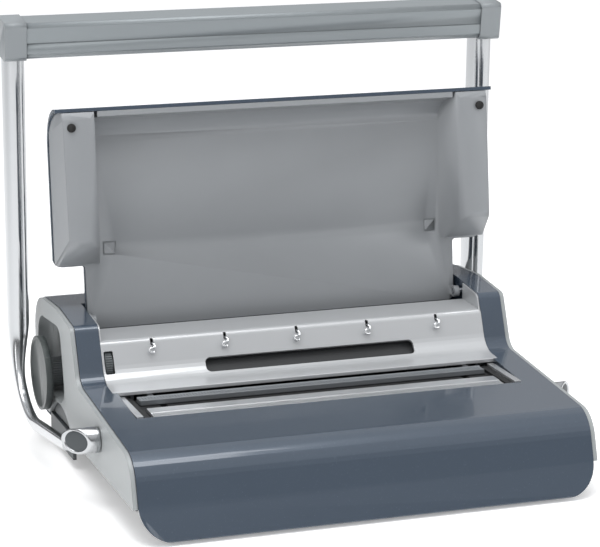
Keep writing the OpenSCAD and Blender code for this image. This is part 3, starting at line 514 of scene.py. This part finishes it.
def arc(corner, before, after, radius, steps):
    """Points along the round that replaces a corner."""
    c, a, b = Vector(corner), Vector(before), Vector(after)
    u, v = (a - c).normalized(), (b - c).normalized()
    half = u.angle(v) / 2
    middle = c + (u + v).normalized() * radius / math.sin(half)
    first = c + u * radius / math.tan(half) - middle
    final = c + v * radius / math.tan(half) - middle
    turn = first.angle_signed(final)
    return [middle + Matrix.Rotation(-turn * i / steps, 2) @ first for i in range(steps + 1)]


def along(a, b, steps):
    """Points on a straight line, without its last."""
    return [Vector(a).lerp(Vector(b), i / steps) for i in range(steps)]


# The arm's outer and inner edges, in y and z: a limb from the boss, a bend, then an upright
# that leans a little to the back as it goes down.
lean_out = math.tan(math.radians(2.12))
top_y, top_z, half_wide = 324, 345, 14
outer_mark = (top_y + half_wide + (top_z - 14) * lean_out, 14.3)
inner_mark = (top_y - half_wide + (top_z - 30) * lean_out, 29.7)
outer_top = (top_y + half_wide - 4.4 * lean_out, 349.4)
inner_top = (top_y - half_wide + 0.2 * lean_out, 344.8)
outer_arc = arc(outer_mark, (118, 47.5), outer_top, 99, 28)
inner_arc = arc(inner_mark, (118, 56.5), inner_top, 61, 28)
outer_side, inner_side = [
    along(start, bend_arc[0], 14) + bend_arc + along(bend_arc[-1], top, 12)[1:] + [Vector(top)]
    for start, bend_arc, top in (((130, 46.0), outer_arc, outer_top),
                                 ((130, 55.1), inner_arc, inner_top))]


def arm_mesh():
    """One swept tube: slim and flat along the limb, deep and rounded in the upright, with a
    groove down the front that leaves two lobes."""
    outer_x, slim, wider = 228.1, 9.0, 9.5
    groove_at, groove_wide, groove_deep = 0.28, 0.13, 0.16
    rings = []
    sides = 72
    for far, near in zip(outer_side, inner_side):
        middle, reach = (far + near) / 2, (far - near) / 2
        rise = min(1.0, max(0.0, (near[1] - 55) / 50))
        rise = rise * rise * (3 - 2 * rise) if near[0] > 250 else 0.0
        inner_x = outer_x - slim - wider * rise
        power = 2.0 / (3.4 - 0.7 * rise)      # squarer on the limb, rounder in the upright
        ring = []
        for j in range(sides):
            a = 2 * math.pi * j / sides
            across, deep = math.cos(a), math.sin(a)
            across = math.copysign(abs(across) ** power, across)
            deep = math.copysign(abs(deep) ** power, deep)
            if deep < 0 and rise > 0:
                groove = math.exp(-((across + groove_at) / groove_wide) ** 2)
                deep += groove_deep * rise * groove * abs(deep)
            spot = middle + reach * deep
            spot_x = (inner_x + outer_x) / 2 + across * (outer_x - inner_x) / 2
            ring.append((spot_x, spot[0], spot[1]))
        rings.append(ring)
    return loft("arm", rings, 50)


def boss_mesh():
    """The pivot boss: a round stub with a slanted end and a shallow oval pocket in it."""
    sides = 96
    turn = [2 * math.pi * j / sides for j in range(sides)]
    front_x, front_y, slope = 209.5, 109, 1.1

    def slant(radius, back):
        ring = []
        for a in turn:
            y = shaft_at[0] + radius * math.cos(a)
            z = shaft_at[1] + radius * math.sin(a)
            ring.append((front_x + (y - front_y) / slope - back, y, z))
        return ring

    foot_x, foot_r = 200.7, 10.9
    flat = [(foot_x, shaft_at[0] + foot_r * math.cos(a), shaft_at[1] + foot_r * math.sin(a))
            for a in turn]
    stub = loft("boss", [flat, slant(10.95, 1.3), slant(10.7, 0.5), slant(10.1, 0.1),
                         slant(8.9, 0.0), slant(8.5, 0.5), slant(8.3, 1.4)], 40)
    disc = loft("boss_inlay", [slant(8.25, 1.6), slant(8.25, 0.9), slant(7.4, 0.55),
                               slant(4.0, 0.35), slant(0.5, 0.3)], 40)
    return stub, disc


boss, disc = boss_mesh()
arm = joined("handle_arm", arm_mesh(), boss)
arm_slots = (("handle_arm_left", mirrored(arm)), ("handle_arm_right", arm))
for name, mesh in arm_slots:
    settle(make(name + "_tube", mesh), chrome, "handle", "arm_chrome", name)
skin("grip_bar", grip_enamel, "handle", "grip_silver", 30)
skin("grip_cap_left", cap_satin, "handle", "cap_grey", 30)
skin("grip_cap_right", cap_satin, "handle", "cap_grey", 30)
inlays = make("boss_inlays", joined("boss_inlays", disc, mirrored(disc)))
settle(inlays, inlay_black, "handle", "inlay_dark", "arm_inlays")
dress(turned_steel, "main_shaft", "spring_collars")
dress(brass, "ram_pinions", "anvil_pinions")


# ---- Punch ----
# The ram is a steel bar behind which the square pins stand in a row; two racks under the main
# shaft push it to the back through the sheet slot.
dress(sheet_steel, "punch_ram")
dress(milled_steel, "pull_rack_left", "pull_rack_right")
pin_count, pin_pitch = 34, 0.0084667      # three holes to the inch
pin = extruded("pin", [(232.0, 81.5), (250.5, 81.5), (249.9, 83.5), (250.5, 85.5),
                       (232.0, 85.5)], -141.7, -137.7, 0.15)
pins = row("pins", pin, pin_count, (pin_pitch, 0, 0), turned_steel)
settle(make("punch_pin_row", pins), turned_steel, "punch_carriage", "pin_steel", "punch_pins")


# ---- Knob ----
# The closing-size knob is a thin moulded disc on a ribbed hub, satin dark grey, pressed on
# the shaft that moves the closer's stop.
def turned(name, profile, centre):
    """A body turned about an X axis through centre; profile lists (x, radius) in mm."""
    sides = 72
    turn = [2 * math.pi * j / sides for j in range(sides)]
    rings = []
    for x, radius in profile:
        rings.append([(x, centre[0] + radius * math.cos(a), centre[1] + radius * math.sin(a))
                      for a in turn])
    return loft(name, rings)


def ribs_round(name, mat, x0, x1, radius, high, count, centre, wide):
    """Straight ribs round a turned body, high and wide in mm, tapering to their tips."""
    half = wide / 2000
    tip = half * 0.45
    base, top = (radius - 0.4) / 1000, (radius + high) / 1000
    a, b = x0 / 1000, x1 / 1000
    c = min(0.0006, (x1 - x0) / 4000)
    verts = [(a, -half, base), (a, half, base), (b, half, base), (b, -half, base),
             (a + c, -tip, top), (a + c, tip, top), (b - c, tip, top), (b - c, -tip, top)]
    faces = [(0, 1, 2, 3), (4, 7, 6, 5), (0, 4, 5, 1), (1, 5, 6, 2), (2, 6, 7, 3), (3, 7, 4, 0)]
    unit = bpy.data.meshes.new(name)
    unit.from_pydata(verts, [], faces)
    closed(unit)
    mesh = row(name, unit, count, (0, 0, 0), mat, (2 * math.pi / count, 0, 0))
    mesh.transform(Matrix.Translation((0, centre[0] / 1000 - half_depth, centre[1] / 1000)))
    return mesh


# Satin dark ABS for the disc and a paler one for its hub: even, with a broad highlight.
knob_satin = finish_of("satin_dark_abs", "#505555", 0.4, 0.15, grain=0.6, depth=0.01, edge=1.0)
hub_satin = finish_of("satin_mid_abs", "#6c7072", 0.38, 0.15, grain=0.6, depth=0.01)
skin("knob_disc", knob_satin, "knob", "knob_grey", 35)
knob_at, hub_r = (300, 66), 12.1
hub = turned("hub", [(-203, 11.6), (-202.6, hub_r), (-178.8, hub_r), (-178.2, 11.5)], knob_at)
hub_ribs = ribs_round("hub_ribs", hub_satin, -202.9, -178.6, hub_r, 0.85, 36, knob_at, 1.2)
settle(make("ribbed_hub", joined("ribbed_hub", hub, hub_ribs)), hub_satin, "knob", "hub_grey",
       "knob_hub")
dress(turned_steel, "knob_shaft")


# ---- Lid ----
# The lid is a glossy blue-grey outer shell with a satin grey liner clipped into it. The
# liner's two pods carry rubber bumpers; steel pins at the neck's foot hinge it in the risers.

# Satin ABS, a shade darker than the side panels: soft light and no clear reflection.
liner_satin = finish_of("satin_liner_abs", "#8b8e91", 0.42, 0.15, grain=0.6, depth=0.01,
                        spread=0.05, vary=0.03, edge=1.0)
skin("lid_shell", case_gloss, "lid", "case_blue", 24)
skin("lid_liner", liner_satin, "lid", "liner_silver", 24)
skin("lid_bumpers", foot_rubber, "lid", "rubber_black", 35)
dress(turned_steel, "lid_hinge_pins")


# ---- Chip drawer ----
# A dark moulded tray slides out to the left; its front closes the lower half of
# the panel's arch, and a fixed plate of the same plastic closes the upper half.

# Dark moulded ABS with a coarse grain, dull: its dark tint is partly the plastic and partly
# painted shade, so that the arch stays in shade.
drawer_dark_and_shade = finish_of("dark_moulded_abs_and_shade", "#4a4e51", 0.5, grain=0.8, depth=0.02, edge=1.0)
dress(drawer_dark_and_shade, "waste_drawer", "drawer_front", "drawer_surround")


# ---- Edge guide ----
# A ribbed thumbwheel turns a lead screw that moves the sheet's edge stop sideways.

# Dark ABS: plain, so that light catches only the tips of the ribs.
wheel_abs = finish_of("dark_wheel_abs", "#505557", 0.45, grain=0.6, depth=0.02)
wheel_up, wheel_in = 16.4, 12.0          # mm up the panel's face and in behind it
wheel_at = (hook_foot[0] + wheel_up * math.cos(hook_slope) + wheel_in * math.sin(hook_slope),
            hook_foot[1] + wheel_up * math.sin(hook_slope) - wheel_in * math.cos(hook_slope))
wheel_r = 12.8
wheel = turned("wheel", [(-172.8, 11.9), (-172.3, wheel_r), (-166.5, wheel_r), (-166.0, 11.9)],
               wheel_at)
wheel_ribs = ribs_round("wheel_ribs", wheel_abs, -172.6, -166.2, wheel_r, 0.6, 40, wheel_at, 1.1)
settle(make("ribbed_wheel", joined("ribbed_wheel", wheel, wheel_ribs)), wheel_abs,
       "thumbwheel", "wheel_dark", "guide_thumbwheel")
dress(turned_steel, "guide_screw")
dress(silver_paint, "edge_guide")


# ---- Floor, light and camera ----
# A pale floor that glows faintly, a large soft light above, two weaker ones at the sides and a
# sky that brightens upwards. The floor runs far past the object, so no edge of it shows.
floor_paint = finish_of("pale_floor", "#f8f8f8", 0.9, grain=3.0, depth=0.0, dark=1.0,
                        vary=0.0, spread=0.0, ior=1.2)
far_edge = 24
corners = [(-far_edge, -far_edge, 0), (far_edge, -far_edge, 0),
           (far_edge, far_edge, 0), (-far_edge, far_edge, 0)]
floor_mesh = bpy.data.meshes.new("floor")
floor_mesh.from_pydata(corners, [], [(0, 1, 2, 3)])
lit = floor_paint.node_tree.nodes["Principled BSDF"]
lit.inputs["Emission Color"].default_value = linear("#ffffff")
lit.inputs["Emission Strength"].default_value = 0.3
floor = make("floor", floor_mesh)
floor_mesh.materials.append(floor_paint)


def soft_light(name, place, target, wide, high, power):
    """A rectangular light, sizes in m, turned to face target."""
    lamp = bpy.data.lights.new(name, "AREA")
    lamp.shape = "RECTANGLE"
    lamp.size, lamp.size_y, lamp.energy = wide, high, power
    obj = bpy.data.objects.new(name, lamp)
    scene.collection.objects.link(obj)
    obj.location = place
    obj.rotation_euler = (Vector(target) - Vector(place)).to_track_quat("-Z", "Y").to_euler()


soft_light("overhead", (-0.3, -0.2, 1.9), (0, 0, 0.1), 1.6, 1.2, 27)
soft_light("left_fill", (-1.9, -1.2, 1.1), (0, 0, 0.15), 0.8, 1.4, 8)
soft_light("right_fill", (1.8, -1.0, 1.0), (0, 0, 0.15), 0.7, 1.2, 8)
world = bpy.data.worlds.new("studio")
scene.world = world
world.use_nodes = True
sky = world.node_tree
upward = add(sky, "ShaderNodeSeparateXYZ", None,
             Vector=add(sky, "ShaderNodeTexCoord").outputs["Generated"]).outputs["Z"]
glow = add(sky, "ShaderNodeMapRange", {"From Min": 0.0, "From Max": 0.75, "To Min": 0.2,
           "To Max": 0.85, "interpolation_type": "SMOOTHSTEP"}, Value=upward)
sky.links.new(glow.outputs["Result"], sky.nodes["Background"].inputs["Strength"])
sky.nodes["Background"].inputs["Color"].default_value = linear("#fcfdff")
scene.view_settings.view_transform = "Standard"

lens = bpy.data.cameras.new("camera")
lens.sensor_width = 36.0
lens.lens = 145.2
lens.shift_x, lens.shift_y = -0.0015, 0.0605
lens.clip_start, lens.clip_end = 0.05, 30.0
camera = bpy.data.objects.new("camera", lens)
scene.collection.objects.link(camera)
turn, dip = 0.329, 0.246      # radians: to the right of straight on, and downwards
ahead = Vector((math.sin(turn) * math.cos(dip), math.cos(turn) * math.cos(dip), -math.sin(dip)))
camera.location = (-0.657, -1.908, 0.643)
camera.rotation_euler = ahead.to_track_quat("-Z", "Y").to_euler()
scene.camera = camera
